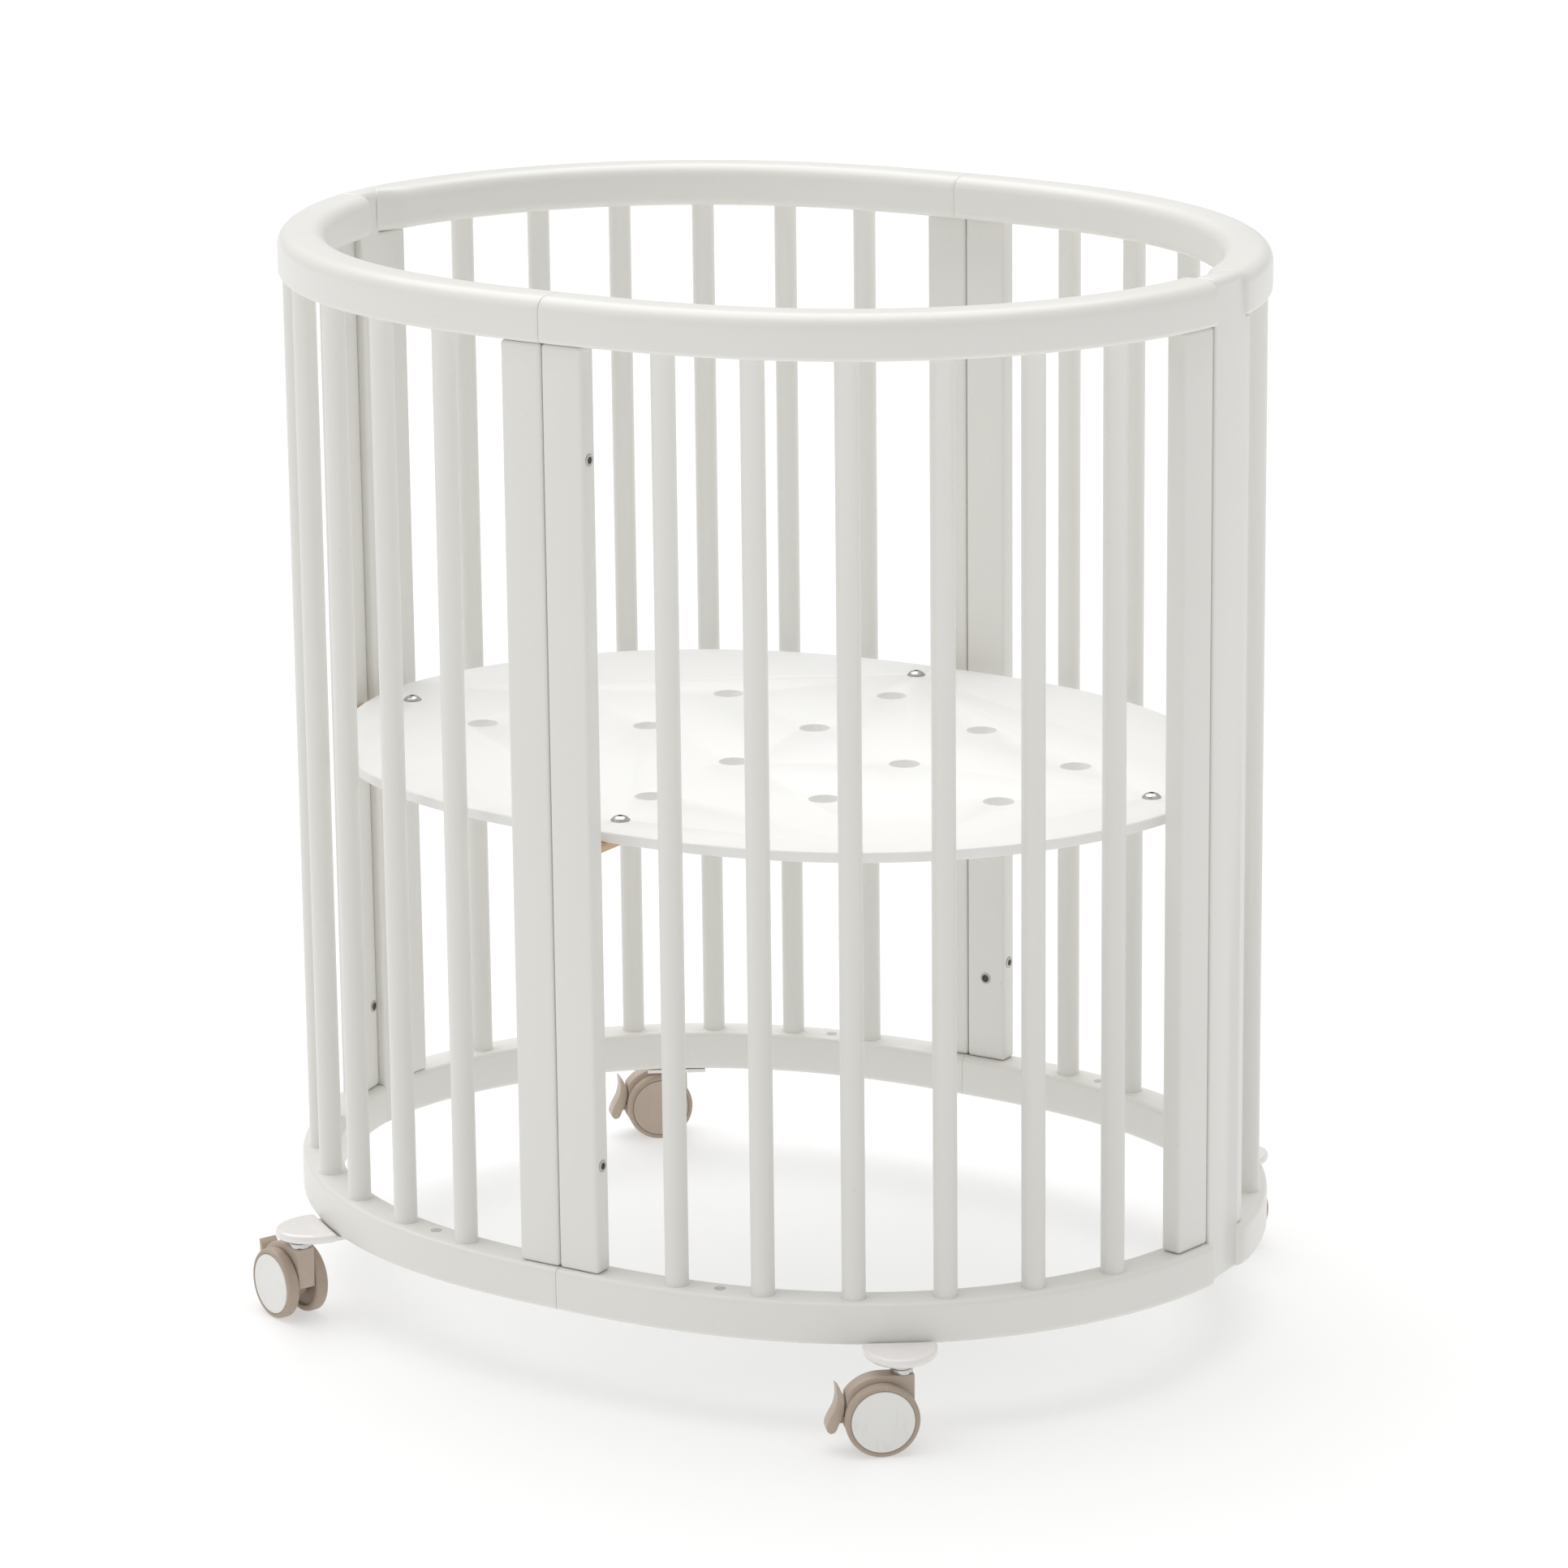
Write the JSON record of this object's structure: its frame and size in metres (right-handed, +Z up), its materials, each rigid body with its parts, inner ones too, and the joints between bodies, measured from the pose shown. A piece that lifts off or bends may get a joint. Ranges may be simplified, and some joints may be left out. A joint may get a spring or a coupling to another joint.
{
  "type": "baby crib",
  "caption": "Oval white wooden baby crib of four bolted quarter panels with round rods, a raised vented mattress board, and swivel casters with brake levers.",
  "frame": {"origin": "on the floor under the middle of the oval", "axes": "+Z up, +X along the oval's long side, the front long side faces -Y"},
  "size_m": [0.853, 0.673, 0.896],
  "materials": {
    "white_paint": "satin white paint over solid beech",
    "board_lacquer": "satin white lacquered board",
    "bracket_plastic": "glossy warm white moulding",
    "taupe_plastic": "satin taupe moulding",
    "wheel_plastic": "matte taupe tyre with plain caps",
    "bare_beech": "unpainted beech, sanded",
    "bolt_steel": "bright plated steel"
  },
  "bodies": {
    "crib": {"back_left_bottom_rail": "white_paint", "back_left_caster_bracket": "bracket_plastic", "back_left_end_post": "white_paint", "back_left_rod_1": "white_paint", "back_left_rod_2": "white_paint", "back_left_rod_3": "white_paint", "back_left_rod_4": "white_paint", "back_left_rod_5": "white_paint", "back_left_rod_6": "white_paint", "back_left_side_stile": "white_paint", "back_left_top_rail": "white_paint", "back_right_bottom_rail": "white_paint", "back_right_caster_bracket": "bracket_plastic", "back_right_end_post": "white_paint", "back_right_rod_1": "white_paint", "back_right_rod_2": "white_paint", "back_right_rod_3": "white_paint", "back_right_rod_4": "white_paint", "back_right_rod_5": "white_paint", "back_right_rod_6": "white_paint", "back_right_side_stile": "white_paint", "back_right_top_rail": "white_paint", "front_left_bottom_rail": "white_paint", "front_left_caster_bracket": "bracket_plastic", "front_left_end_stile": "white_paint", "front_left_rod_1": "white_paint", "front_left_rod_2": "white_paint", "front_left_rod_3": "white_paint", "front_left_rod_4": "white_paint", "front_left_rod_5": "white_paint", "front_left_rod_6": "white_paint", "front_left_side_stile": "white_paint", "front_left_top_rail": "white_paint", "front_right_bottom_rail": "white_paint", "front_right_caster_bracket": "bracket_plastic", "front_right_end_stile": "white_paint", "front_right_rod_1": "white_paint", "front_right_rod_2": "white_paint", "front_right_rod_3": "white_paint", "front_right_rod_4": "white_paint", "front_right_rod_5": "white_paint", "front_right_rod_6": "white_paint", "front_right_side_stile": "white_paint", "front_right_top_rail": "white_paint", "mattress_board": "board_lacquer"},
    "front_right_swivel": {"front_right_caster_fork": "taupe_plastic"},
    "front_right_wheel_pair": {"front_right_caster_wheels": "wheel_plastic"},
    "front_right_lever": {"front_right_brake_lever": "taupe_plastic"},
    "back_right_swivel": {"back_right_caster_fork": "taupe_plastic"},
    "back_right_wheel_pair": {"back_right_caster_wheels": "wheel_plastic"},
    "back_right_lever": {"back_right_brake_lever": "taupe_plastic"},
    "back_left_swivel": {"back_left_caster_fork": "taupe_plastic"},
    "back_left_wheel_pair": {"back_left_caster_wheels": "wheel_plastic"},
    "back_left_lever": {"back_left_brake_lever": "taupe_plastic"},
    "front_left_swivel": {"front_left_caster_fork": "taupe_plastic"},
    "front_left_wheel_pair": {"front_left_caster_wheels": "wheel_plastic"},
    "front_left_lever": {"front_left_brake_lever": "taupe_plastic"}
  },
  "joints": [
    {"name": "front_right_caster_swivel", "type": "hinge", "parent": "crib", "child": "front_right_swivel", "pos_m": [0.29089, -0.28588, 0.0672], "axis": [0, 0, 1], "continuous": true},
    {"name": "front_right_wheel_roll", "type": "hinge", "parent": "front_right_swivel", "child": "front_right_wheel_pair", "pos_m": [0.27756, -0.29707, 0.0296], "axis": [0.6428, -0.766, 0], "continuous": true},
    {"name": "front_right_brake", "type": "hinge", "parent": "front_right_swivel", "child": "front_right_lever", "pos_m": [0.26186, -0.31024, 0.0276], "axis": [0.6428, -0.766, 0], "range_deg": [0, 15]},
    {"name": "back_right_caster_swivel", "type": "hinge", "parent": "crib", "child": "back_right_swivel", "pos_m": [0.29089, 0.28588, 0.0672], "axis": [0, 0, 1], "continuous": true},
    {"name": "back_right_wheel_roll", "type": "hinge", "parent": "back_right_swivel", "child": "back_right_wheel_pair", "pos_m": [0.28494, 0.26953, 0.0296], "axis": [0.9397, -0.342, 0], "continuous": true},
    {"name": "back_right_brake", "type": "hinge", "parent": "back_right_swivel", "child": "back_right_lever", "pos_m": [0.27793, 0.25027, 0.0276], "axis": [0.9397, -0.342, 0], "range_deg": [0, 15]},
    {"name": "back_left_caster_swivel", "type": "hinge", "parent": "crib", "child": "back_left_swivel", "pos_m": [-0.29089, 0.28588, 0.0672], "axis": [0, 0, 1], "continuous": true},
    {"name": "back_left_wheel_roll", "type": "hinge", "parent": "back_left_swivel", "child": "back_left_wheel_pair", "pos_m": [-0.30341, 0.27379, 0.0296], "axis": [0.6947, -0.7193, 0], "continuous": true},
    {"name": "back_left_brake", "type": "hinge", "parent": "back_left_swivel", "child": "back_left_lever", "pos_m": [-0.31815, 0.25955, 0.0276], "axis": [0.6947, -0.7193, 0], "range_deg": [0, 15]},
    {"name": "front_left_caster_swivel", "type": "hinge", "parent": "crib", "child": "front_left_swivel", "pos_m": [-0.29089, -0.28588, 0.0672], "axis": [0, 0, 1], "continuous": true},
    {"name": "front_left_wheel_roll", "type": "hinge", "parent": "front_left_swivel", "child": "front_left_wheel_pair", "pos_m": [-0.30702, -0.27936, 0.0296], "axis": [-0.3746, -0.9272, 0], "continuous": true},
    {"name": "front_left_brake", "type": "hinge", "parent": "front_left_swivel", "child": "front_left_lever", "pos_m": [-0.32603, -0.27168, 0.0276], "axis": [-0.3746, -0.9272, 0], "range_deg": [0, 15]}
  ]
}
